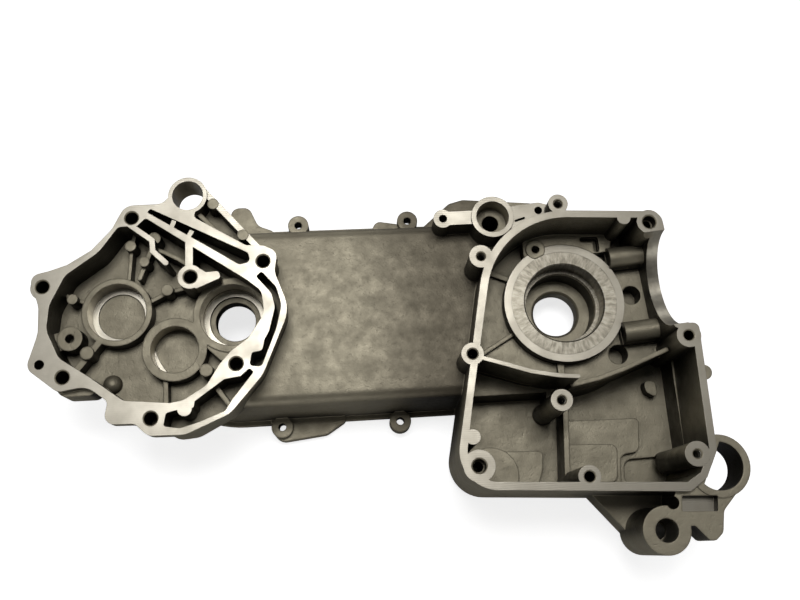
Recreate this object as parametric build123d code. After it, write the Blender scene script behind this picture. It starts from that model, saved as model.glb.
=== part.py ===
# crankcase half of a small scooter engine, seen on its engine and gearbox side
import math
import os

from build123d import *

os.makedirs("parts", exist_ok=True)

# frame: origin on the crank axis at the split face, X from the gearbox input bore to the crank,
# Z up out of the split face, everything in mm

shaft_distance = 215.5        # crank axis to gearbox input axis
gear_face_z = -10.0           # gearbox cover joint
panel_top_z = -32.0           # thin panel between gearbox and crank chamber
panel_thickness = 4.0
panel_edge_radius = 7.0       # rounding where the panel turns down into the belt side walls
ring_face_z = -33.0           # machined face of the main bearing boss
chamber_floor_z = -43.0
gear_floor_z = -35.0
gear_boss_z = -24.0           # tops of the three gearbox bearing bosses
sump_floor_z = -66.0
sump_skirt_z = -78.0          # lower edge of the sump walls
flange_z = -90.0              # belt cover joint, the face the part rests on

main_bore_radius = 26.0       # seat of the crankshaft ball bearing
main_sleeve_radius = 34.6     # outside of the cast-in steel ring
main_seat_depth = 13.0
main_step_radius = 23.5
main_step_z = -65.0
seal_radius = 15.0
main_boss_radius = 39.6
main_boss_bottom_z = -76.0

input_axis = (-shaft_distance, 0.0)
input_radius = 20.0
counter_axis = (-251.3, -20.9)
counter_radius = 15.0
output_axis = (-287.7, 5.1)
output_radius = 18.5

cylinder_angle = 5.0          # lean of the cylinder axis from X
deck_distance = 64.0          # crank axis to the cylinder base face
spigot_radius = 30.5
stud_spread = 25.5            # studs each side of the cylinder axis
stud_depth = -33.0
stud_radius = 7.0

shock_eye = (-240.8, 76.4)
shock_eye_radius = 9.8
hanger_eye = (76.0, -112.5)
hanger_eye_radius = 14.5
lower_lug = (40.0, -148.0)
starter_axis = (-45.6, 54.0)

case_screws = [                # x, y, boss radius, hole radius
    (-5.1, 56.5, 6.3, 2.6),
    (52.0, 41.8, 8.0, 3.1),
    (-56.9, 23.8, 7.4, 2.6),
    (-66.9, -37.8, 6.9, 3.1),
    (-68.0, -105.2, 9.6, 3.1),
    (-3.4, -114.8, 6.8, 3.1),
    (62.5, -105.0, 7.6, 2.6),
    (67.3, -32.8, 7.6, 3.1),
    (-15.3, -68.8, 6.7, 2.6),
]
gear_screws = [(-330.2, 19.7), (-315.9, -38.0), (-262.5, -65.7), (-211.1, -34.7),
               (-193.5, 30.2), (-276.1, 62.7), (-239.1, 22.0)]
belt_screws = [(-175.1, 77.2), (-97.1, 77.2), (-189.8, -66.0), (-255.0, 66.0), (-283.0, 8.0),
               (-262.0, -50.0), (-110.0, -66.0), (50.5, 52.0), (55.0, -42.0)]


def outline(*corners):
    """Closed face through corners given as x, y, corner radius."""
    spans = []
    count = len(corners)
    for i, (x, y, r) in enumerate(corners):
        px, py = corners[i - 1][0] - x, corners[i - 1][1] - y
        nx, ny = corners[(i + 1) % count][0] - x, corners[(i + 1) % count][1] - y
        before, after = math.hypot(px, py), math.hypot(nx, ny)
        px, py, nx, ny = px / before, py / before, nx / after, ny / after
        half = math.acos(max(-1, min(1, px * nx + py * ny))) / 2
        reach = min(r / math.tan(half), 0.49 * before, 0.49 * after)
        r = reach * math.tan(half)
        mx, my = px + nx, py + ny
        size = math.hypot(mx, my)
        top = r / math.sin(half) - r
        spans.append(((x + px * reach, y + py * reach), (x + mx / size * top, y + my / size * top),
                      (x + nx * reach, y + ny * reach)))
    edges = []
    for i, (start, middle, end) in enumerate(spans):
        edges.append(ThreePointArc(start, middle, end))
        edges.append(Line(end, spans[(i + 1) % count][0]))
    return make_face(edges)


def prism(face, low, high):
    return extrude(Pos(0, 0, low) * face, amount=high - low, dir=(0, 0, 1))


def post(x, y, radius, low, high):
    return Pos(x, y, low) * Cylinder(radius, high - low, align=(Align.CENTER, Align.CENTER, Align.MIN))


def cone(x, y, low_radius, high_radius, low, high):
    shape = Cone(low_radius, high_radius, high - low, align=(Align.CENTER, Align.CENTER, Align.MIN))
    return Pos(x, y, low) * shape


def bar(start, end, width, low, high):
    """Upright rib with square ends between two points."""
    dx, dy = end[0] - start[0], end[1] - start[1]
    length = math.hypot(dx, dy)
    block = Box(length, width, high - low, align=(Align.MIN, Align.CENTER, Align.MIN))
    return Pos(start[0], start[1], low) * Rot(0, 0, math.degrees(math.atan2(dy, dx))) * block


def rib(points, width, low, high):
    """Upright rib along a chain of points, round at its joints and ends, as a list of pieces."""
    pieces = [post(points[0][0], points[0][1], width / 2, low, high)]
    for a, b in zip(points, points[1:]):
        pieces += [bar(a, b, width, low, high), post(b[0], b[1], width / 2, low, high)]
    return pieces


def across(x, y, z, radius, length):
    """Round bar running along the cylinder axis from a point."""
    rod = Cylinder(radius, length, align=(Align.CENTER, Align.CENTER, Align.MIN))
    return Pos(x, y, z) * Rot(0, 0, cylinder_angle) * Rot(0, 90, 0) * rod


def stadium(x0, r0, x1, r1, y):
    """Belt outline: two arcs joined by their common tangents."""
    tilt = math.degrees(math.asin((r0 - r1) / abs(x1 - x0)))
    left, right = (x0, y), (x1, y)
    a, b = 90 + -tilt, -90 + tilt
    p = [(left[0] + r0 * math.cos(math.radians(a)), y + r0 * math.sin(math.radians(a))),
         (right[0] + r1 * math.cos(math.radians(a)), y + r1 * math.sin(math.radians(a))),
         (right[0] + r1 * math.cos(math.radians(b)), y + r1 * math.sin(math.radians(b))),
         (left[0] + r0 * math.cos(math.radians(b)), y + r0 * math.sin(math.radians(b)))]
    edges = [Line(p[0], p[1]), ThreePointArc(p[1], (x1 + r1, y), p[2]),
             Line(p[2], p[3]), ThreePointArc(p[3], (x0 - r0, y), p[0])]
    return make_face(edges)


def along(distance, offset):
    """Point in plan at a distance along the cylinder axis and an offset across it."""
    c, s = math.cos(math.radians(cylinder_angle)), math.sin(math.radians(cylinder_angle))
    return (distance * c - offset * s, distance * s + offset * c)


# belt side: a tub open downwards, its walls leaning in towards the panel
tub_low = stadium(-shaft_distance, 66.5, 0, 65.0, 6.0)
tub_high = stadium(-shaft_distance, 57.5, 0, 56.0, -0.5)
tub = loft([Pos(0, 0, flange_z) * tub_low, Pos(0, 0, panel_top_z) * tub_high])
tub = fillet(tub.edges().group_by(Axis.Z)[-1], panel_edge_radius)
hollow_low = stadium(-shaft_distance, 62.5, 0, 61.0, 6.0)
hollow_high = stadium(-shaft_distance, 53.7, 0, 52.2, -0.5)
hollow = loft([Pos(0, 0, flange_z) * hollow_low,
               Pos(0, 0, panel_top_z - panel_thickness) * hollow_high])
solids = [prism(stadium(-shaft_distance, 69.5, 0, 68.0, 6.0), flange_z, flange_z + 6)]

# room for the starter pinion
solids.append(prism(outline((-92, 56, 6), (-70.5, 74.5, 6), (-61, 77, 8), (-14, 72.5, 6), (-2, 62, 3),
                            (0, 30, 3), (-80, 30, 3)), flange_z, -40))
pinion_hollow = prism(outline((-85, 54, 5), (-67.5, 70, 5), (-60, 72.5, 6), (-17, 68.5, 5), (-8, 59, 3),
                              (-8, 34, 3), (-76, 34, 3)), flange_z, -44)

# cover tabs and swellings of the belt flange
solids.append(prism(outline((-199, -56, 3), (-194, -76, 8), (-160, -72, 8), (-138, -58, 10)),
                    flange_z, flange_z + 8))
solids.append(prism(outline((-126, 66, 3), (-119.5, 79, 5), (-106, 76.5, 6), (-84, 72, 4), (-84, 60, 3),
                            (-126, 60, 3)), flange_z, flange_z + 9))
solids.append(prism(outline((-226, 62, 3), (-221, 90, 6), (-209, 90, 6), (-203, 76, 8), (-188, 70, 4),
                            (-200, 60, 3)), flange_z, flange_z + 18))
solids += [post(x, y, 7.3, flange_z, flange_z + 12) for x, y in belt_screws]

# crankcase walls round the crank chamber and the sump
case_outer = outline((-49.2, 54.4, 57), (60.0, 48.6, 8), (66.4, -25.0, 3), (74.4, -25.0, 7), (74.4, -103.5, 4),
                     (66.5, -119.0, 4), (55.5, -126.6, 7), (-84.2, -118.2, 23), (-73.2, -66.0, 60))
case_inner = outline((-44.6, 49.6, 52.5), (52.9, 44.4, 3), (59.0, -27.0, 3), (69.9, -32.0, 3), (69.9, -121.9, 9),
                     (-77.8, -113.9, 18), (-68.8, -66.0, 60))
solids.append(prism(case_outer, sump_skirt_z, 0))
solids += [post(x, y, boss, -46, 0) for x, y, boss, hole in case_screws[:8]]
solids.append(post(74.4, -56.0, 4.6, -30, -2))

# gearbox housing: a cover flange over a narrower body with screw columns
gear_flange = outline((-339.0, 27.0, 9), (-328.8, -1.0, 45), (-338.0, -31.5, 7), (-318.5, -47.0, 7),
                      (-301.0, -44.2, 14), (-288.3, -54.2, 4), (-291.0, -68.0, 6), (-272.0, -68.4, 5),
                      (-264.0, -76.2, 9), (-242.0, -76.6, 14), (-215.0, -65.2, 15), (-194.8, -42.3, 25),
                      (-177.6, -1.5, 22), (-186.6, 23.0, 12), (-184.3, 36.0, 6), (-193.0, 40.6, 4),
                      (-204.0, 41.2, 3), (-237.0, 61.6, 3), (-234.0, 71.5, 2), (-248.0, 81.0, 2),
                      (-257.0, 71.4, 8), (-280.4, 71.2, 9), (-288.4, 55.6, 10), (-306.4, 36.2, 25),
                      (-326.4, 29.8, 12))
gear_shell = outline((-333.5, 18, 12), (-333.0, -12, 14), (-322.0, -31, 10), (-301.0, -43.5, 10), (-284.0, -57.5, 8),
                     (-250.0, -76.0, 10), (-238.0, -75.0, 14), (-214.0, -62.5, 12), (-196.0, -41.0, 20),
                     (-179.0, -1.5, 20), (-187.5, 23.0, 12), (-193.0, 37.0, 6), (-262.0, 71.0, 6), (-286.0, 62.0, 8),
                     (-298.0, 46.0, 12), (-321.0, 32.0, 12))
solids.append(prism(gear_flange, gear_face_z - 8, gear_face_z))
solids.append(prism(gear_shell, gear_floor_z - 4.5, gear_face_z - 4))
solids += [post(x, y, 8.0, gear_floor_z, gear_face_z - 2) for x, y in gear_screws]
solids.append(post(-330.0, -29.6, 6.0, gear_face_z - 14, gear_face_z - 2))
solids.append(prism(outline((-326, -36, 3), (-318, -49, 6), (-299, -49, 5), (-292, -38, 3)), -34, -16))
solids.append(post(shock_eye[0], shock_eye[1], 12.4, -34, gear_face_z))

# strut from the shock eye to the corner screw, the web behind it and the gusset to the belt flange
solids.append(prism(outline((-262, 60, 3), (-252, 74, 3), (-240, 84, 3), (-230, 80, 3), (-195, 38, 3),
                            (-215, 34, 3)), -34, -26))
solids.append(prism(outline((-240, 54, 3), (-236, 64, 4), (-222, 70, 4), (-212, 60, 3), (-215, 50, 3)), -84, -30))
solids += rib([(-231.0, 80.0), (-194.5, 37.2)], 4.0, -30, -12)
solids += [post(-224.9, 70.6, 3.6, -30, -11.5), post(-206.1, 48.8, 3.6, -30, -11.5)]
solids += rib([(-236, 67), (-224, 54)], 3.0, -30, -16)

# starter boss with its two ears
solids.append(post(starter_axis[0], starter_axis[1], 13.8, -60, -12))
solids += rib([(-77.6, 54.8), (-52, 55.0)], 9.2, -42, -14)
solids.append(post(-77.6, 54.8, 6.2, -42, -14.0))
solids.append(prism(outline((-46, 60, 2), (-15, 63.2, 5), (-4, 60, 2), (-20, 46, 2), (-44, 46, 2)), -60, -14))

# hanger eye, window plate and lower lug
solids.append(post(hanger_eye[0], hanger_eye[1], 18.8, -30, -4))
solids.append(prism(outline((50, -122, 3), (66, -112, 2), (92, -121, 10), (75.4, -138.5, 6), (73.2, -151, 5),
                            (66.5, -157.0, 4), (55.5, -144.5, 2.5), (52, -150, 4), (40, -143, 3)), -30, -5))
solids.append(post(lower_lug[0], lower_lug[1], 14.4, -58, -5))
solids.append(prism(outline((4, -120, 3), (31, -152.5, 9), (38, -160, 6), (52, -156, 6), (62, -126, 4),
                            (60, -112, 3)), -64, -44))
solids += rib([(55, -122), (52, -138)], 5, -46, -8)
body = tub + solids

# hollow out the belt side, then close it under the crank chamber and the bearing bosses
body = body - [hollow, pinion_hollow]
backing = [prism(outline((-48.5, 52.5, 55), (58.5, 46.0, 3), (62.0, -30.0, 3), (62.0, -56, 3), (-69, -56, 3)),
                 chamber_floor_z - panel_thickness, -38),
           post(0, 0, main_boss_radius, -62, ring_face_z), post(0, 0, 31, main_boss_bottom_z, -62),
           post(47.6, 5.4, 9.5, -60, -44), post(34.2, -34.4, 9.5, -60, -44),
           post(input_axis[0], input_axis[1], 26.5, -54, gear_floor_z - 3),
           post(counter_axis[0], counter_axis[1], 19, -46, gear_floor_z - 3),
           post(output_axis[0], output_axis[1], 22, -46, gear_floor_z - 3),
           bar((-160, 0.6), (-58, 0.6), 3.0, -44, -34)]
for a in (150, 181, 210, 262, 292):                        # ribs out from the main boss
    c, s = math.cos(math.radians(a)), math.sin(math.radians(a))
    backing.append(bar((36 * c, 36 * s), (59 * c, 59 * s), 3.2, -58, -44))
for a in (20, 60, 100, -20, -60):                          # ribs out from the input boss
    c, s = math.cos(math.radians(a)), math.sin(math.radians(a))
    start = (input_axis[0] + 25 * c, input_axis[1] + 25 * s)
    backing.append(bar(start, (input_axis[0] + 54.0 * c, input_axis[1] + 54.0 * s), 3.0, -50, -34))
body = body + backing

# crank chamber and sump
divider = [(-66, -38.2), (-61.0, -40.6), (-45.8, -45.6), (-31.8, -50.4), (-15, -53.8), (-3.8, -54.8)]
divider_low = [(-3.5, -56.6), (13.7, -53.3), (30.0, -48.2), (58.8, -37.2)]
keep = [post(x, y, boss, -71, 2) for x, y, boss, hole in case_screws]
keep += [post(36.0, 45.2, 4.3, -50, 2), post(-70.5, -88.0, 4.6, -71, 2)]
keep += rib(divider, 2.5, -71, 2) + rib(divider_low, 2.8, -71, -20)
keep_chamber = keep + [post(0, 0, main_boss_radius, -50, ring_face_z),
                       prism(outline((-24, 42, 5), (-12.5, 60, 2), (40, 60, 2), (34, 34, 4), (0, 30, 2),
                                     (-24, 31, 4)), -50, ring_face_z - 0.5),
                       post(-15.8, 37.0, 6.4, -50, ring_face_z + 0.5)]
for a, b, width in (((-2, 52), (-2, 37), 4.0), ((-55, 28), (-33, 18.5), 3.6), ((-56, -30.5), (-31, -16), 2.6),
                    ((-5.2, -50), (-5.2, -36), 4.6)):
    keep_chamber.append(bar(a, b, width, -50, chamber_floor_z + 3.5))
for t in (stud_spread, -stud_spread):                      # stud tubes standing on the floor
    x, y = along(34, t)
    web = Box(30, 2 * stud_radius, 12, align=(Align.MIN, Align.CENTER, Align.MAX))
    keep_chamber += [Pos(x, y, stud_depth) * Rot(0, 0, cylinder_angle) * web,
                     across(x, y, stud_depth, stud_radius, 30)]
chamber = prism(case_inner, chamber_floor_z, 1) - keep_chamber

keep_sump = keep + [loft([Pos(0, 0, flange_z) * tub_low, Pos(0, 0, panel_top_z) * tub_high]),
                    bar((-15.0, -66), (-13.8, -53.5), 3.2, -71, -8), bar((-3.9, -64), (-7.8, -118), 3.6, -71, -16),
                    post(-53.5, -107.0, 18.0, -71, sump_floor_z + 7)]
steps = (((-70, -91, 3), (-18, -92.8, 3), (-19, -104, 3), (-25, -122, 3), (-70, -122, 3), 4),
         ((-4, -74, 3), (48.2, -74.5, 3), (46.0, -96.5, 5), (33, -98, 5), (31, -126, 3), (-4, -126, 3), 4),
         ((-4, -89.9, 3), (30.8, -91.2, 4.5), (28.2, -115.8, 4.5), (-4, -114.3, 3), 8),
         ((52.5, -50, 3), (61, -51, 3), (61.5, -63, 4), (54, -58, 3), 9))
for step in steps:
    keep_sump.append(prism(outline(*step[:-1]), -71, sump_floor_z + step[-1]))
sump = prism(outline((-64.6, -46.0, 1), (-45.8, -46.9, 20), (-31.8, -51.7, 20), (-15, -55.1, 8), (-3.5, -58.0, 8),
                     (14.0, -54.7, 8), (30.5, -49.6, 10), (59.3, -38.6, 8), (68.5, -35.5, 1), (69.9, -121.9, 9),
                     (-77.8, -113.9, 18), (-68.8, -66.0, 60)), sump_floor_z, 1) - keep_sump
basin = prism(outline((36, -101, 6), (66, -100, 5), (64, -118, 6), (35, -118, 6)), sump_floor_z - 4, -60)
under = prism(outline((-62, -74, 6), (66, -74, 6), (64, -96, 3), (30, -97, 3), (29, -120, 4), (-62, -112, 14)),
              sump_skirt_z - 1, sump_floor_z - 5)
under = under - [loft([Pos(0, 0, flange_z) * tub_low, Pos(0, 0, panel_top_z) * tub_high])]
body = body - [chamber, sump, basin, under]

# cylinder side: half-round spigot seat, stud holes, oil return holes, plateau slot
x, y = along(46, 0)
cuts = [across(x, y, 0, spigot_radius, 40)]
for t in (stud_spread, -stud_spread):
    x, y = along(44, t)
    cuts.append(across(x, y, stud_depth, 4.2, 40))
cuts += [post(47.6, 5.4, 6.3, -57, -40), post(34.2, -34.4, 6.4, -57, -40)]
cuts += rib([(16.5, 42.7), (25.2, 42.5), (25.4, 35.5)], 3.6, -41, -30)

# main bearing seat, step and seal bore
cuts += [post(0, 0, main_sleeve_radius, ring_face_z - 17, ring_face_z + 1),
         post(0, 0, main_step_radius, main_step_z, ring_face_z),
         post(0, 0, seal_radius, main_boss_bottom_z - 1, main_step_z + 1),
         cone(0, 0, seal_radius, seal_radius + 1.5, main_step_z - 1.5, main_step_z)]
body = body - cuts

# gearbox cavity with its bosses, walls and pins left standing
stay = [bar((-239.8, 50), (-239.8, 24), 4.8, -50, gear_face_z), post(-239.1, 22.0, 7.8, -50, gear_face_z),
        prism(outline((-240, 30, 1), (-232, 26.5, 3), (-229.5, 24.6, 2), (-221.6, 25.0, 2.0), (-219.8, 20.6, 2.0),
                      (-236, 13.9, 1)), -20, gear_face_z),
        post(output_axis[0], output_axis[1], 22.2, -50, gear_boss_z),
        post(counter_axis[0], counter_axis[1], 20.4, -50, gear_boss_z),
        post(input_axis[0], input_axis[1], 24.4, -50, gear_boss_z),
        prism(outline((-232, 6, 2), (-236, -16, 2), (-222, -30, 2), (-206, -22, 2), (-200, 0, 2)),
              -50, gear_boss_z - 0.5),
        post(-316.0, -11.3, 7.9, -50, -22), bar((-330, -14), (-316, -11.3), 12, -50, -24),
        post(-315.3, 14.3, 3.4, -50, -22), post(-304.9, -21.2, 4.2, -50, -21),
        post(-279.5, 48.1, 3.6, -50, -22), post(-270.4, 36.8, 3.4, -50, -21), post(-255.6, 17.4, 3.8, -50, -21),
        post(-231.1, -35.7, 4.1, -50, -21), post(-264.2, 52.2, 4.2, -50, -21),
        Pos(-291.8, -39.6, gear_floor_z) * Sphere(6.0), bar((-257.4, -38), (-256.8, -60), 3.2, -50, -27)]
stay += rib([(-277.8, 58.6), (-263.0, 47.2), (-262.5, 40.0), (-254.3, 31.9)], 3.4, -50, gear_face_z)
stay += rib([(-238, 30), (-248, 37), (-257, 42), (-262, 44)], 2.6, -50, -20)
stay += rib([(-324, 20), (-305, 11)], 2.2, -50, -27) + rib([(-312.5, -32), (-298, -13.5)], 4.2, -50, -24)
stay += rib([(-277.2, 60), (-279.6, 47), (-281, 26)], 2.4, -50, -26)
stay += rib([(-265.5, 50), (-270.6, 36), (-274, 27)], 3.0, -50, -25)
stay += rib([(-268, 11), (-255.6, 17.4), (-244, 19.5)], 2.6, -50, -26)
cavity = prism(outline((-284.5, 57.0, 4), (-272.3, 57.3, 1), (-267.3, 62.3, 2), (-203.5, 18.2, 5), (-195.0, 11.0, 8),
                       (-193.2, -3.5, 14), (-203.5, -19.0, 6), (-214.0, -26.5, 8), (-221.5, -35.0, 8),
                       (-229.0, -47.2, 8), (-243.0, -55.6, 8), (-251.0, -57.0, 10), (-279.0, -54.2, 8),
                       (-300.0, -38.5, 12), (-318.5, -26.0, 10), (-326.8, -8.0, 14), (-325.5, 8.0, 16),
                       (-316.5, 26.5, 10), (-296.0, 41.0, 25)), gear_floor_z, 0) - stay

# pockets sunk from the cover flange: long slot, side channels
slot = prism(outline((-266.8, 66.4, 1.2), (-264.0, 68.2, 1.5), (-202.8, 36.2, 3.5), (-201.4, 30.0, 3),
                     (-208.5, 28.6, 3), (-232.5, 44.4, 2), (-240.2, 49.2, 2)), -32, 0)
slot = slot - [bar((-251.0, 55), (-249.2, 59.8), 3.0, -50, gear_face_z),
               bar((-240.5, 48), (-237.9, 52.6), 3.0, -50, gear_face_z)]
side = prism(outline((-198.2, 20.4, 1.5), (-194.6, 23.6, 1.5), (-185.6, 13.0, 9), (-182.6, 1.0, 12),
                     (-186.0, -13.5, 20), (-195.6, -37.2, 2.5), (-203.0, -36.4, 2), (-201.4, -28.2, 2),
                     (-195.0, -27.2, 2.5), (-193.6, -20.6, 2.5), (-190.5, -15, 6), (-186.6, 0.0, 10),
                     (-188.6, 9.0, 9)), -32, 0)
channel = prism(outline((-254.9, -70.8, 1.5), (-253.4, -63.0, 2), (-247.0, -61.4, 1.5), (-236.8, -60.6, 1.5),
                        (-236.2, -56.6, 1.5), (-218.4, -44.0, 3), (-208.4, -42.6, 3), (-203.0, -37.9, 1.5),
                        (-200.4, -40.4, 1.5), (-213.4, -56.4, 3), (-218.0, -63.4, 3), (-233.0, -69.2, 6),
                        (-245.0, -72.6, 5)), -30, 0)
channel = channel - [post(-242.3, -61.0, 4.4, -50, gear_face_z), bar((-224, -48), (-214, -62), 3.0, -50, -18)]

# bearing seats of the gearbox
seats = []
for axis, r in ((output_axis, output_radius), (counter_axis, counter_radius)):
    seats += [post(axis[0], axis[1], r, -36.5, -20), post(axis[0], axis[1], r - 3.6, -37.6, -30)]
seats += [post(input_axis[0], input_axis[1], input_radius, -42, -20),
          post(input_axis[0], input_axis[1], 16.5, -44.2, -40), post(input_axis[0], input_axis[1], 13.0, -60, -40)]
body = body - [cavity, slot, side, channel] - seats

# screw holes and lug bores
holes = []
for x, y, boss, hole in case_screws:
    holes += [post(x, y, hole, -34, 1), cone(x, y, hole, hole + 0.7, -0.7, 0)]
for x, y in ((52.0, 41.8), (-68.0, -105.2)):               # dowel counterbores
    holes += [post(x, y, 4.1, -8, 1), cone(x, y, 4.1, 4.9, -0.8, 0)]
for x, y in gear_screws:
    holes += [post(x, y, 4.0, gear_face_z - 22, 0), cone(x, y, 4.0, 4.8, gear_face_z - 0.8, gear_face_z)]
holes += [post(-330.0, -29.6, 3.0, gear_face_z - 12, 0), post(-316.0, -11.3, 2.8, -32, 0),
          post(-15.8, 37.0, 2.6, -44, 0)]
holes += [post(x, y, 2.6, flange_z - 1, flange_z + 20) for x, y in belt_screws]
holes.append(post(shock_eye[0], shock_eye[1], shock_eye_radius, -60, 0))
eye = prism(outline((78.6, -97, 0.5), (64.5, -124.5, 0.5), (80, -140, 1), (100, -110, 1), (90, -90, 1)), -40, 1)
holes.append(post(hanger_eye[0], hanger_eye[1], hanger_eye_radius, -40, 1) & eye)
holes += [post(lower_lug[0], lower_lug[1], 7.0, -30, 0), post(lower_lug[0] + 1.5, lower_lug[1], 5.1, -70, -20),
          post(45.5, -132.3, 3.8, -40, 0)]
holes.append(prism(outline((51.4, -128.6, 1), (72.8, -129.6, 1), (71.8, -138.7, 1), (50.4, -137.7, 1)), -12, 0))
holes += [post(starter_axis[0], starter_axis[1], 10.5, -26, 0),
          post(starter_axis[0], starter_axis[1], 5.4, -70, -20),
          post(-77.6, 54.8, 2.6, -34, 0), post(-15.2, 57.7, 2.5, -34, -13)]
holes += rib([(-30.5, 51.2), (-25, 52.8)], 1.4, -24, -10)
body = body - holes

# cast-in steel ring that carries the main bearing
sleeve = post(0, 0, main_sleeve_radius, ring_face_z - 17, ring_face_z)
sleeve = sleeve - [post(0, 0, main_bore_radius, ring_face_z - main_seat_depth, 0),
                   post(0, 0, main_step_radius, -60, 0),
                   cone(0, 0, main_bore_radius, main_bore_radius + 0.8, ring_face_z - 0.8, ring_face_z)]

export_step(body, "parts/crankcase_half.step")
export_step(sleeve, "parts/main_bearing_sleeve.step")
for name, shape in (("crankcase_half", body), ("main_bearing_sleeve", sleeve)):
    print(name, shape.is_valid, len(shape.solids()), round(shape.volume), shape.bounding_box())
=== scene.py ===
# crankcase half lying on its belt side, seen from above on a white studio floor
import math

import bmesh
import bpy
from mathutils import Euler, Matrix, Vector


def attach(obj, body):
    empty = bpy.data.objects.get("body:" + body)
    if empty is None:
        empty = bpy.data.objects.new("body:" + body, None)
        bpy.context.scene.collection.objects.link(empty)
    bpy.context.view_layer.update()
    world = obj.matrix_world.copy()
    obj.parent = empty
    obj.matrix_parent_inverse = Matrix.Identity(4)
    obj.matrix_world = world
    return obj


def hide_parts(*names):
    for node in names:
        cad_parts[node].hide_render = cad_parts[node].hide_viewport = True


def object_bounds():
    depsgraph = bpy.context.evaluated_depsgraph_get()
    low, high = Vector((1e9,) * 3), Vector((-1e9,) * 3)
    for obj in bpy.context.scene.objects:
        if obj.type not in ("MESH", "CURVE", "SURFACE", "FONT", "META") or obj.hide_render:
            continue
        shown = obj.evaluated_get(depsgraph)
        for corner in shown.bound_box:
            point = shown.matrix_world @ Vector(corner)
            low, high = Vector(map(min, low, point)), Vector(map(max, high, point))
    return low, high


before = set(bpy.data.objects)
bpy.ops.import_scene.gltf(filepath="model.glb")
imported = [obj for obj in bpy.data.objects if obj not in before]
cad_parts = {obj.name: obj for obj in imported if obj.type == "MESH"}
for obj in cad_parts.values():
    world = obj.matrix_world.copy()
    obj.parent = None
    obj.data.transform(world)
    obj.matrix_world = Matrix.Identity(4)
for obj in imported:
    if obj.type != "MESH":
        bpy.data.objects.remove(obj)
cadLow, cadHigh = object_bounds()
print("frame loaded")

mm = 0.001
scene = bpy.context.scene
edgeSamples = 6    # rays for rounded edges and for corners


# helpers for materials

def newMaterial(name):
    material = bpy.data.materials.new(name)
    material.use_nodes = True
    tree = material.node_tree
    tree.nodes.clear()
    return material, tree


def addNode(tree, kind, inputs=None, **values):
    node = tree.nodes.new(kind)
    for key, value in values.items():
        setattr(node, key, value)
    for key, value in (inputs or {}).items():
        if isinstance(value, bpy.types.NodeSocket):
            tree.links.new(value, node.inputs[key])
        else:
            node.inputs[key].default_value = value
    return node


def ramp(tree, source, stops):
    node = addNode(tree, "ShaderNodeValToRGB", {0: source})
    elements = node.color_ramp.elements
    while len(elements) < len(stops):
        elements.new(0.5)
    for element, (place, tone) in zip(elements, stops):
        element.position = place
        element.color = (tone, tone, tone, 1) if isinstance(tone, (int, float)) else (*tone, 1)
    return node.outputs[0]


def mixColor(tree, factor, a, b):
    node = addNode(tree, "ShaderNodeMix", data_type="RGBA")
    for key, value in ((0, factor), (6, a), (7, b)):
        if isinstance(value, bpy.types.NodeSocket):
            tree.links.new(value, node.inputs[key])
        else:
            node.inputs[key].default_value = (*value, 1)
    return node.outputs[2]


def calc(tree, operation, a, b=0.0):
    return addNode(tree, "ShaderNodeMath", {0: a, 1: b}, operation=operation).outputs[0]


def mapRange(tree, value, low, high, toLow=0.0, toHigh=1.0, smooth=False):
    return addNode(tree, "ShaderNodeMapRange", {"Value": value, "From Min": low, "From Max": high,
                                                "To Min": toLow, "To Max": toHigh},
                   interpolation_type="SMOOTHSTEP" if smooth else "LINEAR").outputs[0]


def objectCoords(tree):
    return addNode(tree, "ShaderNodeTexCoord").outputs["Object"]


def axes(tree, vector):
    return addNode(tree, "ShaderNodeSeparateXYZ", {0: vector}).outputs


def grain(tree, coords, scale, detail=3.0, rough=0.55, stretch=None):
    vector = coords
    if stretch:
        vector = addNode(tree, "ShaderNodeMapping", {"Vector": coords, "Scale": stretch}).outputs[0]
    return addNode(tree, "ShaderNodeTexNoise", {"Vector": vector, "Scale": scale, "Detail": detail,
                                                "Roughness": rough}).outputs["Fac"]


def recess(tree, pocket):    # 1 on open surfaces, towards 0 in corners and pockets
    return addNode(tree, "ShaderNodeAmbientOcclusion", {"Distance": pocket}, samples=edgeSamples,
                   only_local=True).outputs["AO"]


def finishMaterial(tree, look, color, rough, height):
    edge = addNode(tree, "ShaderNodeBevel", {"Radius": look["edge"]}, samples=edgeSamples)
    bump = addNode(tree, "ShaderNodeBump", {"Height": height, "Distance": look["bump"], "Strength": 1.0,
                                            "Normal": edge.outputs[0]})
    shader = addNode(tree, "ShaderNodeBsdfPrincipled", {"Base Color": color, "Roughness": rough,
                                                       "Metallic": look["metal"], "Normal": bump.outputs[0]})
    addNode(tree, "ShaderNodeOutputMaterial", {"Surface": shader.outputs[0]})


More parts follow.
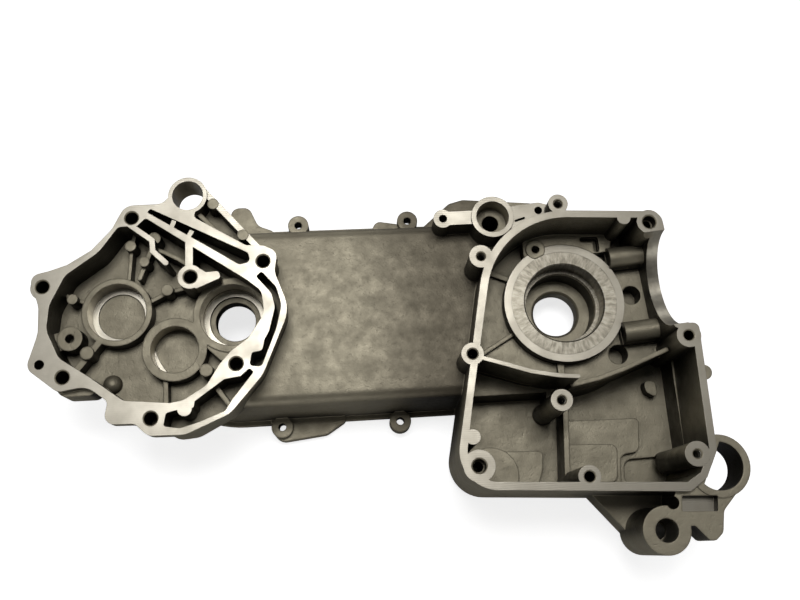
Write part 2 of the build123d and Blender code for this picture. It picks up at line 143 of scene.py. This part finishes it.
# cast skin: cloudy grey aluminium, with painted shade over the panel towards the crank case, in corners and on
# enclosed walls
castLook = {
    "dark": (0.095, 0.080, 0.055), "mid": (0.300, 0.268, 0.196), "light": (0.365, 0.330, 0.243),
    # painted shade colour for corners, pockets and enclosed walls
    "hollow": (0.020, 0.017, 0.011),
    "metal": 0.68, "edge": 1.2 * mm, "bump": 0.22 * mm, "pocket": 44 * mm,
    "cloudScale": 22.0, "blotchScale": 95.0, "fineScale": 900.0, "pitScale": 420.0,
    "flowScale": 60.0, "flowStretch": (1.0, 3.2, 1.0),    # long marks along the panel
    "cloudStops": (0.30, 0.70), "blotchStops": ((0.42, 0.0), (0.72, 0.40)),
    "flowStops": ((0.52, 0.0), (0.85, 0.28)), "fineStops": ((0.48, 0.0), (0.75, 0.30)),
    "cornerShadeStops": ((0.05, 0.60), (0.22, 0.20), (0.42, 0.0)),
    "steepStops": ((0.10, 1.0), (0.60, 0.0)), "wallStops": ((0.40, 1.0), (0.82, 0.88), (0.94, 0.0)),
    "roughStops": ((0.25, 0.40), (0.75, 0.60)), "pitStops": ((0.28, 0.0), (0.40, 1.0)),
    "fineBump": 0.6, "pitBump": 0.3, "blotchBump": 0.9,
    "panelShadeStart": -150 * mm, "panelShadeFull": -82 * mm, "panelShadeWander": 45 * mm, "panelShadeDepth": 0.82,
    "panelShadeTop": -22 * mm, "panelShadeBottom": -30 * mm,
    "wallX": -60.5 * mm, "wallLean": 0.2,    # the case wall, where the painted shade on the panel ends
}


# painted shade: darkens the panel's lower levels towards the crank case, up to the case wall
def paintedPanelShade(tree, spot, cloud):
    place = axes(tree, spot)
    wander = calc(tree, "MULTIPLY", calc(tree, "SUBTRACT", cloud, 0.5), castLook["panelShadeWander"])
    toCrank = mapRange(tree, calc(tree, "ADD", place["X"], wander), castLook["panelShadeStart"],
                       castLook["panelShadeFull"], smooth=True)
    wallSide = calc(tree, "SUBTRACT", place["X"], calc(tree, "MULTIPLY", place["Y"], castLook["wallLean"]))
    beyond = calc(tree, "LESS_THAN", wallSide, castLook["wallX"])
    under = mapRange(tree, place["Z"], castLook["panelShadeTop"], castLook["panelShadeBottom"])
    return calc(tree, "MULTIPLY", calc(tree, "MULTIPLY", toCrank, beyond),
                calc(tree, "MULTIPLY", under, castLook["panelShadeDepth"]))


def wallShade(tree, openness):    # steep walls inside the case, not the open ones outside
    facing = axes(tree, addNode(tree, "ShaderNodeTexCoord").outputs["Normal"])["Z"]
    steep = ramp(tree, calc(tree, "ABSOLUTE", facing), castLook["steepStops"])
    return calc(tree, "MULTIPLY", steep, ramp(tree, openness, castLook["wallStops"]))


def castMaterial():
    material, tree = newMaterial("castSkin")
    spot = objectCoords(tree)
    cloud = grain(tree, spot, castLook["cloudScale"], detail=5.0, rough=0.62)
    blotch = grain(tree, spot, castLook["blotchScale"], detail=4.0, rough=0.6)
    fine = grain(tree, spot, castLook["fineScale"], detail=3.0, rough=0.6)
    flow = grain(tree, spot, castLook["flowScale"], detail=4.0, rough=0.55, stretch=castLook["flowStretch"])
    midStop, lightStop = castLook["cloudStops"]
    tone = ramp(tree, cloud, ((midStop, castLook["mid"]), (lightStop, castLook["light"])))
    tone = mixColor(tree, ramp(tree, blotch, castLook["blotchStops"]), tone, castLook["mid"])
    tone = mixColor(tree, ramp(tree, flow, castLook["flowStops"]), tone, castLook["dark"])
    tone = mixColor(tree, ramp(tree, fine, castLook["fineStops"]), tone, castLook["light"])
    # painted shade over the panel towards the crank case, in the dark tone
    tone = mixColor(tree, paintedPanelShade(tree, spot, cloud), tone, castLook["dark"])
    # painted shade: corners, pockets and steep enclosed walls darkened by how enclosed they are
    openness = recess(tree, castLook["pocket"])
    tone = mixColor(tree, ramp(tree, openness, castLook["cornerShadeStops"]), tone, castLook["hollow"])
    tone = mixColor(tree, wallShade(tree, openness), tone, castLook["hollow"])
    rough = ramp(tree, blotch, castLook["roughStops"])
    pits = ramp(tree, grain(tree, spot, castLook["pitScale"], detail=2.0), castLook["pitStops"])
    height = calc(tree, "ADD", calc(tree, "MULTIPLY", fine, castLook["fineBump"]),
                  calc(tree, "MULTIPLY", pits, castLook["pitBump"]))
    height = calc(tree, "ADD", height, calc(tree, "MULTIPLY", blotch, castLook["blotchBump"]))
    finishMaterial(tree, castLook, tone, rough, height)
    return material


# milled joint faces: bright at the gearbox, duller at the crank case
milledLook = {
    "dark": (0.46, 0.425, 0.35), "light": (0.60, 0.56, 0.47), "crankSideDull": (0.21, 0.19, 0.15),
    "metal": 0.80, "edge": 0.35 * mm, "bump": 0.02 * mm,
    "cutterScale": 240.0, "patchScale": 45.0, "fineScale": 1400.0,
    "patchStops": (0.32, 0.62), "fineStops": ((0.55, 0.0), (0.80, 0.30)),
    "roughStops": ((0.30, 0.42), (0.70, 0.30)), "cutterBump": 0.5, "fineBump": 0.35,
    "crankSideDullStart": -130 * mm, "crankSideDullFull": -50 * mm, "crankSideDullShare": 0.55,
}


def milledMaterial():
    material, tree = newMaterial("milledFace")
    spot = objectCoords(tree)
    arcs = addNode(tree, "ShaderNodeTexWave", {"Vector": spot, "Scale": milledLook["cutterScale"],
                                               "Distortion": 1.5, "Detail": 2.0, "Detail Scale": 0.4},
                   wave_type="RINGS").outputs["Fac"]
    patch = grain(tree, spot, milledLook["patchScale"], detail=4.0, rough=0.6)
    fine = grain(tree, spot, milledLook["fineScale"], detail=2.0)
    darkStop, lightStop = milledLook["patchStops"]
    tone = ramp(tree, patch, ((darkStop, milledLook["dark"]), (lightStop, milledLook["light"])))
    tone = mixColor(tree, ramp(tree, fine, milledLook["fineStops"]), tone, milledLook["dark"])
    # milled faces darker towards the crank case
    crankSideDull = mapRange(tree, axes(tree, spot)["X"], milledLook["crankSideDullStart"], milledLook["crankSideDullFull"],
                    toHigh=milledLook["crankSideDullShare"])
    tone = mixColor(tree, crankSideDull, tone, milledLook["crankSideDull"])
    rough = ramp(tree, patch, milledLook["roughStops"])
    height = calc(tree, "ADD", calc(tree, "MULTIPLY", arcs, milledLook["cutterBump"]),
                  calc(tree, "MULTIPLY", fine, milledLook["fineBump"]))
    finishMaterial(tree, milledLook, tone, rough, height)
    return material


# bored walls, with fine feed marks round them
boredLook = {
    "dark": (0.34, 0.31, 0.25), "light": (0.62, 0.58, 0.48), "hollow": (0.08, 0.075, 0.06),
    "metal": 0.85, "rough": 0.34, "edge": 0.25 * mm, "bump": 0.012 * mm, "pocket": 16 * mm,
    "feed": 9000.0, "feedBump": 0.5,    # feed marks, radians per metre of depth
    "patchScale": 80.0, "patchStretch": (1.0, 1.0, 0.3), "patchStops": (0.35, 0.65),
    "cornerShadeStops": ((0.15, 0.75), (0.7, 0.0)),
}


def boredMaterial():
    material, tree = newMaterial("boredWall")
    spot = objectCoords(tree)
    feed = calc(tree, "SINE", calc(tree, "MULTIPLY", axes(tree, spot)["Z"], boredLook["feed"]))
    patch = grain(tree, spot, boredLook["patchScale"], detail=3.0, rough=0.6, stretch=boredLook["patchStretch"])
    darkStop, lightStop = boredLook["patchStops"]
    tone = ramp(tree, patch, ((darkStop, boredLook["dark"]), (lightStop, boredLook["light"])))
    # painted shade: the bore's corners darkened by how enclosed they are
    cornerShade = ramp(tree, recess(tree, boredLook["pocket"]), boredLook["cornerShadeStops"])
    tone = mixColor(tree, cornerShade, tone, boredLook["hollow"])
    height = calc(tree, "MULTIPLY", feed, boredLook["feedBump"])
    finishMaterial(tree, boredLook, tone, boredLook["rough"], height)
    return material


# turned ring, with chatter marks that run out from the crank's axis
steelLook = {
    "dark": (0.20, 0.18, 0.14), "light": (0.40, 0.37, 0.30), "hollow": (0.09, 0.085, 0.07),
    "metal": 0.85, "rough": 0.36, "edge": 0.3 * mm, "bump": 0.05 * mm, "pocket": 14 * mm,
    "roundScale": 15.0, "outScale": 160.0, "downScale": 90.0,    # chatter marks, per radian and per metre
    "patchScale": 70.0, "chatterStops": (0.36, 0.62), "patchStops": ((0.45, 0.0), (0.75, 0.5)),
    "cornerShadeStops": ((0.2, 0.7), (0.7, 0.0)), "feed": 12000.0, "feedBump": 0.15,
}


def steelMaterial():
    material, tree = newMaterial("turnedSteel")
    spot = objectCoords(tree)
    place = axes(tree, spot)
    angle = calc(tree, "ARCTAN2", place["Y"], place["X"])
    flat = addNode(tree, "ShaderNodeCombineXYZ", {0: place["X"], 1: place["Y"]}).outputs[0]
    radius = addNode(tree, "ShaderNodeVectorMath", {0: flat}, operation="LENGTH").outputs["Value"]
    polar = addNode(tree, "ShaderNodeCombineXYZ", {
        0: calc(tree, "MULTIPLY", angle, steelLook["roundScale"]),
        1: calc(tree, "MULTIPLY", radius, steelLook["outScale"]),
        2: calc(tree, "MULTIPLY", place["Z"], steelLook["downScale"])}).outputs[0]
    chatter = grain(tree, polar, 1.0, detail=4.0, rough=0.6)
    patch = grain(tree, spot, steelLook["patchScale"], detail=4.0, rough=0.6)
    darkStop, lightStop = steelLook["chatterStops"]
    tone = ramp(tree, chatter, ((darkStop, steelLook["dark"]), (lightStop, steelLook["light"])))
    tone = mixColor(tree, ramp(tree, patch, steelLook["patchStops"]), tone, steelLook["dark"])
    # painted shade: the ring's corners darkened by how enclosed they are
    cornerShade = ramp(tree, recess(tree, steelLook["pocket"]), steelLook["cornerShadeStops"])
    tone = mixColor(tree, cornerShade, tone, steelLook["hollow"])
    turned = calc(tree, "SINE", calc(tree, "MULTIPLY", radius, steelLook["feed"]))
    height = calc(tree, "ADD", chatter, calc(tree, "MULTIPLY", turned, steelLook["feedBump"]))
    finishMaterial(tree, steelLook, tone, steelLook["rough"], height)
    return material


castSkin = castMaterial()
milledFace = milledMaterial()
boredWall = boredMaterial()
turnedSteel = steelMaterial()
print("materials made")


# helpers for meshes
sharpAngle = 28        # degrees between two faces that break the smooth shading
mergeStep = 0.002 * mm


def cadCopy(node, name, materials):    # a merged copy of a CAD node's mesh, at the origin
    shape = bmesh.new()
    shape.from_mesh(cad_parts[node].data)
    shape.transform(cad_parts[node].matrix_world)
    bmesh.ops.remove_doubles(shape, verts=shape.verts, dist=mergeStep)
    shape.normal_update()
    mesh = bpy.data.meshes.new(name)
    shape.to_mesh(mesh)
    shape.free()
    mesh.materials.clear()
    for material in materials:
        mesh.materials.append(material)
    piece = bpy.data.objects.new(name, mesh)
    scene.collection.objects.link(piece)
    return piece


def sharpen(mesh):
    shape = bmesh.new()
    shape.from_mesh(mesh)
    limit = math.radians(sharpAngle)
    for face in shape.faces:
        face.smooth = True
    for edge in shape.edges:
        edge.smooth = len(edge.link_faces) == 2 and edge.calc_face_angle(0) < limit
    shape.to_mesh(mesh)
    shape.free()


# the casting, its faces sorted into cast skin, milled faces and bored walls; all in millimetres
casting = {
    "milledLevels": (0.0, -10.0, -12.0, -14.0, -33.0, -90.0), "levelSlack": 0.06,
    # center x, center y, radius, floor
    "seats": ((-215.5, 0.0, 20.0, -42.0), (-251.3, -20.9, 15.0, -36.5), (-287.7, 5.1, 18.5, -36.5)),
    "bores": ((0.0, 0.0, 15.0, -76.0), (-240.8, 76.4, 9.8, -86.0), (40.0, -148.0, 7.0, -30.0),
              (41.5, -148.0, 5.1, -64.0), (-45.6, 54.0, 10.5, -26.0)),
    "boreSlack": 0.35, "floorSlack": 0.2, "seatFloorSlack": 0.1,
    "cylinderAngle": 5, "deckDistance": 62.0, "deckLowest": -26,
    "spigot": 30.5, "spigotSlack": 0.4, "spigotStart": 40,
    # how far a face may lean: level, level or square on the cylinder, upright, along the cylinder
    "level": 0.995, "facing": 0.99, "upright": 0.1, "along": 0.2,
}


def castFinish(face):    # 0 cast skin, 1 milled face, 2 bored wall
    x, y, z = (value / mm for value in face.center)
    normal = face.normal
    finish = 0
    onLevel = any(abs(z - level) < casting["levelSlack"] for level in casting["milledLevels"])
    if abs(normal.z) > casting["level"] and onLevel:
        finish = 1
    for boreX, boreY, radius, floor in casting["seats"] + casting["bores"]:
        onWall = abs(math.hypot(x - boreX, y - boreY) - radius) < casting["boreSlack"]
        if abs(normal.z) < casting["upright"] and onWall and z > floor - casting["floorSlack"]:
            finish = 2
    for seatX, seatY, radius, floor in casting["seats"]:
        inside = math.hypot(x - seatX, y - seatY) < radius
        if normal.z > casting["facing"] and inside and abs(z - floor) < casting["seatFloorSlack"]:
            finish = 1
    deckX = math.cos(math.radians(casting["cylinderAngle"]))
    deckY = math.sin(math.radians(casting["cylinderAngle"]))
    facing = normal.x * deckX + normal.y * deckY
    onDeck = x * deckX + y * deckY > casting["deckDistance"] and y > casting["deckLowest"]
    if facing > casting["facing"] and onDeck:
        finish = 1
    onSpigot = abs(math.hypot(y * deckX - x * deckY, z) - casting["spigot"]) < casting["spigotSlack"]
    if x > casting["spigotStart"] and onSpigot and abs(facing) < casting["along"]:
        finish = 2
    return finish


piece = cadCopy("crankcase_half", "crankcase", (castSkin, milledFace, boredWall))
for face in piece.data.polygons:
    face.material_index = castFinish(face)
sharpen(piece.data)
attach(piece, "root")
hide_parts("crankcase_half")
print("casting made")


# webs of casting that the solids lack
# the sump's corner between its last screw boss and the hanger eye
corner = {"outer": ((74.3, -100.0), (74.3, -103.5), (66.4, -118.95), (55.5, -126.5), (50.0, -126.2)),
          "inner": ((50.0, -121.0), (54.5, -121.0), (63.0, -115.9), (69.9, -102.4), (69.9, -100.0)),
          "low": -69.0, "high": -0.02}
# the 2 mm under the crank chamber's wall and the oil wall, over the belt hollow
foot = {"through": (-61.26, -30.0), "lean": 11.8, "start": -60.0, "bend": 5.2, "bendRadius": 53.5, "turn": 54,
        "arcStep": 3, "recess": 0.1, "thick": 3.4,
        "oilWall": ((-66.0, -38.2), (-61.0, -40.6), (-45.8, -45.6), (-31.8, -50.4), (-22.0, -52.4)),
        "oilWallWidth": 2.3, "boss": (-66.9, -37.8), "bossRadius": 6.8, "bossStep": 15,
        "low": -38.2, "high": -35.8}


def wallLine(outward):    # the chamber wall's inner line, straight and then round to the top wall
    lean = math.radians(foot["lean"])
    throughX, throughY = foot["through"]
    outX, outY = -math.cos(lean), math.sin(lean)
    startX, bendX = (throughX + math.tan(lean) * (y - throughY) for y in (foot["start"], foot["bend"]))
    centerX, centerY = bendX - outX * foot["bendRadius"], foot["bend"] - outY * foot["bendRadius"]
    line = [(startX + outX * outward, foot["start"] + outY * outward)]
    for step in range(0, foot["turn"] + 1, foot["arcStep"]):
        angle = math.pi - lean - math.radians(step)
        reach = foot["bendRadius"] + outward
        line.append((centerX + reach * math.cos(angle), centerY + reach * math.sin(angle)))
    return line


def stripOutline(path, width):
    left, right = [], []
    for i, (x, y) in enumerate(path):
        before, after = path[max(i - 1, 0)], path[min(i + 1, len(path) - 1)]
        alongX, alongY = after[0] - before[0], after[1] - before[1]
        half = width / 2 / math.hypot(alongX, alongY)
        left.append((x - alongY * half, y + alongX * half))
        right.append((x + alongY * half, y - alongX * half))
    return left + right[::-1]


def circleOutline(center, radius, step):
    turns = (math.radians(angle) for angle in range(0, 360, step))
    return [(center[0] + radius * math.cos(turn), center[1] + radius * math.sin(turn)) for turn in turns]


def castWeb(name, rings, low, high):    # upright prisms over the outlines, in one piece
    points, faces = [], []
    for ring in rings:
        first, count = len(points), len(ring)
        points += [(x * mm, y * mm, level * mm) for level in (low, high) for x, y in ring]
        for i in range(count):
            after = (i + 1) % count
            faces.append((first + i, first + after, first + count + after, first + count + i))
        faces += [tuple(range(first, first + count)), tuple(range(first + count, first + 2 * count))]
    mesh = bpy.data.meshes.new(name)
    mesh.from_pydata(points, [], faces)
    shape = bmesh.new()
    shape.from_mesh(mesh)
    bmesh.ops.recalc_face_normals(shape, faces=shape.faces)
    bmesh.ops.triangulate(shape, faces=shape.faces)
    shape.to_mesh(mesh)
    shape.free()
    mesh.materials.append(castSkin)
    mesh.materials.append(milledFace)
    for face in mesh.polygons:
        face.material_index = int(face.normal.z > casting["facing"])
    web = bpy.data.objects.new(name, mesh)
    scene.collection.objects.link(web)
    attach(web, "root")


castWeb("sumpCorner", (corner["outer"] + corner["inner"],), corner["low"], corner["high"])
footRings = (wallLine(foot["recess"]) + wallLine(foot["thick"])[::-1],
             stripOutline(foot["oilWall"], foot["oilWallWidth"]),
             circleOutline(foot["boss"], foot["bossRadius"], foot["bossStep"]))
castWeb("wallFoot", footRings, foot["low"], foot["high"])
print("webs made")


# cast-in bearing ring
ring = cadCopy("main_bearing_sleeve", "bearingRing", (turnedSteel,))
sharpen(ring.data)
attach(ring, "root")
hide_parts("main_bearing_sleeve")
print("bearing ring made")


# threads of the tapped holes, a helix set down in each hole
caseThreads = {"holes": ((-5.1, 56.5), (-56.9, 23.8), (62.5, -105.0), (-15.3, -68.8)), "low": -24.0,
               "radius": 2.62, "height": 22.5, "pitch": 1.0, "ridge": 0.42, "turnPoints": 20}


def threadGroup():
    group = bpy.data.node_groups.new("holeThreads", "GeometryNodeTree")
    group.interface.new_socket("Geometry", in_out="INPUT", socket_type="NodeSocketGeometry")
    for name in ("Radius", "Turns", "Height", "Ridge"):
        group.interface.new_socket(name, in_out="INPUT", socket_type="NodeSocketFloat")
    group.interface.new_socket("Finish", in_out="INPUT", socket_type="NodeSocketMaterial")
    group.interface.new_socket("Geometry", in_out="OUTPUT", socket_type="NodeSocketGeometry")
    source = addNode(group, "NodeGroupInput").outputs
    helix = addNode(group, "GeometryNodeCurveSpiral", {"Resolution": caseThreads["turnPoints"],
                                                       "Rotations": source["Turns"],
                                                       "Start Radius": source["Radius"],
                                                       "End Radius": source["Radius"],
                                                       "Height": source["Height"]}).outputs[0]
    profile = addNode(group, "GeometryNodeCurvePrimitiveCircle", {"Resolution": 3,
                                                                  "Radius": source["Ridge"]}).outputs[0]
    ridge = addNode(group, "GeometryNodeCurveToMesh", {"Curve": helix, "Profile Curve": profile,
                                                       "Fill Caps": True}).outputs[0]
    copies = addNode(group, "GeometryNodeInstanceOnPoints", {"Points": source["Geometry"],
                                                             "Instance": ridge}).outputs[0]
    real = addNode(group, "GeometryNodeRealizeInstances", {"Geometry": copies}).outputs[0]
    done = addNode(group, "GeometryNodeSetMaterial", {"Geometry": real,
                                                      "Material": source["Finish"]}).outputs[0]
    addNode(group, "NodeGroupOutput", {0: done})
    return group


def cutThreads(name, threads):
    points = bpy.data.meshes.new(name + "Points")
    points.from_pydata([(x * mm, y * mm, threads["low"] * mm) for x, y in threads["holes"]], [], [])
    carrier = bpy.data.objects.new(name + "Carrier", points)
    scene.collection.objects.link(carrier)
    modifier = carrier.modifiers.new("threads", "NODES")
    modifier.node_group = threadGroup()
    values = {"Radius": threads["radius"] * mm, "Turns": threads["height"] / threads["pitch"],
              "Height": threads["height"] * mm, "Ridge": threads["ridge"] * mm, "Finish": boredWall}
    for item in modifier.node_group.interface.items_tree:
        if item.in_out == "INPUT" and item.name in values:
            modifier[item.identifier] = values[item.name]
    bpy.context.view_layer.update()
    made = bpy.data.meshes.new_from_object(carrier.evaluated_get(bpy.context.evaluated_depsgraph_get()))
    bpy.data.objects.remove(carrier)
    made.name = name
    shape = bmesh.new()
    shape.from_mesh(made)
    bmesh.ops.recalc_face_normals(shape, faces=shape.faces)
    shape.to_mesh(made)
    shape.free()
    turned = bpy.data.objects.new(name, made)
    scene.collection.objects.link(turned)
    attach(turned, "root")


cutThreads("caseThreads", caseThreads)
print("threads made")


# studio floor and sky, white to the camera and dimmer where they light the case
studio = {"paper": 0.90, "paperGlow": 0.76, "dimPaper": 0.32, "floorReach": 4.0,
          "skySeen": 1.0, "skyLow": 1.10, "skyHigh": 0.06, "riseLow": 0.12, "riseHigh": 0.50}
white = (1, 1, 1, 1)


def floorPaper():
    material, tree = newMaterial("studioFloor")
    paper, dimPaper = (addNode(tree, "ShaderNodeBsdfDiffuse", {"Color": (tone, tone, tone, 1)})
                       for tone in (studio["paper"], studio["dimPaper"]))
    glow = addNode(tree, "ShaderNodeEmission", {"Color": white, "Strength": studio["paperGlow"]})
    seen = addNode(tree, "ShaderNodeLightPath").outputs["Is Camera Ray"]
    both = addNode(tree, "ShaderNodeAddShader", {0: paper.outputs[0], 1: glow.outputs[0]})
    mixed = addNode(tree, "ShaderNodeMixShader", {0: seen, 1: dimPaper.outputs[0], 2: both.outputs[0]})
    addNode(tree, "ShaderNodeOutputMaterial", {"Surface": mixed.outputs[0]})
    return material


reach = studio["floorReach"]
floorMesh = bpy.data.meshes.new("studioFloor")
floorMesh.from_pydata([(-reach, -reach, cadLow.z), (reach, -reach, cadLow.z), (reach, reach, cadLow.z),
                       (-reach, reach, cadLow.z)], [], [(0, 1, 2, 3)])
floorMesh.materials.append(floorPaper())
floor = bpy.data.objects.new("studioFloor", floorMesh)
scene.collection.objects.link(floor)

world = bpy.data.worlds.new("studio")
scene.world = world
world.use_nodes = True
sky = world.node_tree
sky.nodes.clear()
rise = axes(sky, addNode(sky, "ShaderNodeTexCoord").outputs["Generated"])["Z"]
glowing = mapRange(sky, rise, studio["riseLow"], studio["riseHigh"], studio["skyLow"], studio["skyHigh"],
                   smooth=True)
eye = addNode(sky, "ShaderNodeLightPath").outputs["Is Camera Ray"]
level = mapRange(sky, eye, 0.0, 1.0, glowing, studio["skySeen"])
air = addNode(sky, "ShaderNodeBackground", {"Color": white, "Strength": level})
addNode(sky, "ShaderNodeOutputWorld", {"Surface": air.outputs[0]})

# lamps, in metres and watts
lamps = {"overhead": {"place": (-0.16, 0.46, 1.90), "aim": (-0.13, 0.0, -0.03), "size": (0.95, 0.60),
                      "power": 14.5},
         "fill": {"place": (0.70, 0.30, 1.60), "aim": (-0.05, 0.0, -0.03), "size": (0.5, 0.5), "power": 0.7}}
for name, lamp in lamps.items():
    data = bpy.data.lights.new(name, "AREA")
    data.shape = "RECTANGLE"
    data.size, data.size_y = lamp["size"]
    data.energy = lamp["power"]
    softbox = bpy.data.objects.new(name, data)
    softbox.location = lamp["place"]
    toward = Vector(lamp["aim"]) - Vector(lamp["place"])
    softbox.rotation_euler = toward.to_track_quat("-Z", "Y").to_euler()
    scene.collection.objects.link(softbox)

# camera, where the photographer stood
view = {"place": (-0.13463, -0.14927, 0.552), "turn": (15.0465, -1.7843, -3.2266),    # metres and degrees
        "lens": 41.85, "sensor": 36.0, "near": 0.01}
camera = bpy.data.objects.new("camera", bpy.data.cameras.new("camera"))
camera.data.lens = view["lens"]
camera.data.sensor_width = view["sensor"]
camera.data.clip_start = view["near"]
turn = Euler([math.radians(angle) for angle in view["turn"]])
camera.matrix_world = Matrix.Translation(view["place"]) @ turn.to_matrix().to_4x4()
scene.collection.objects.link(camera)
scene.camera = camera
scene.view_settings.view_transform = "Standard"
print("stage set")
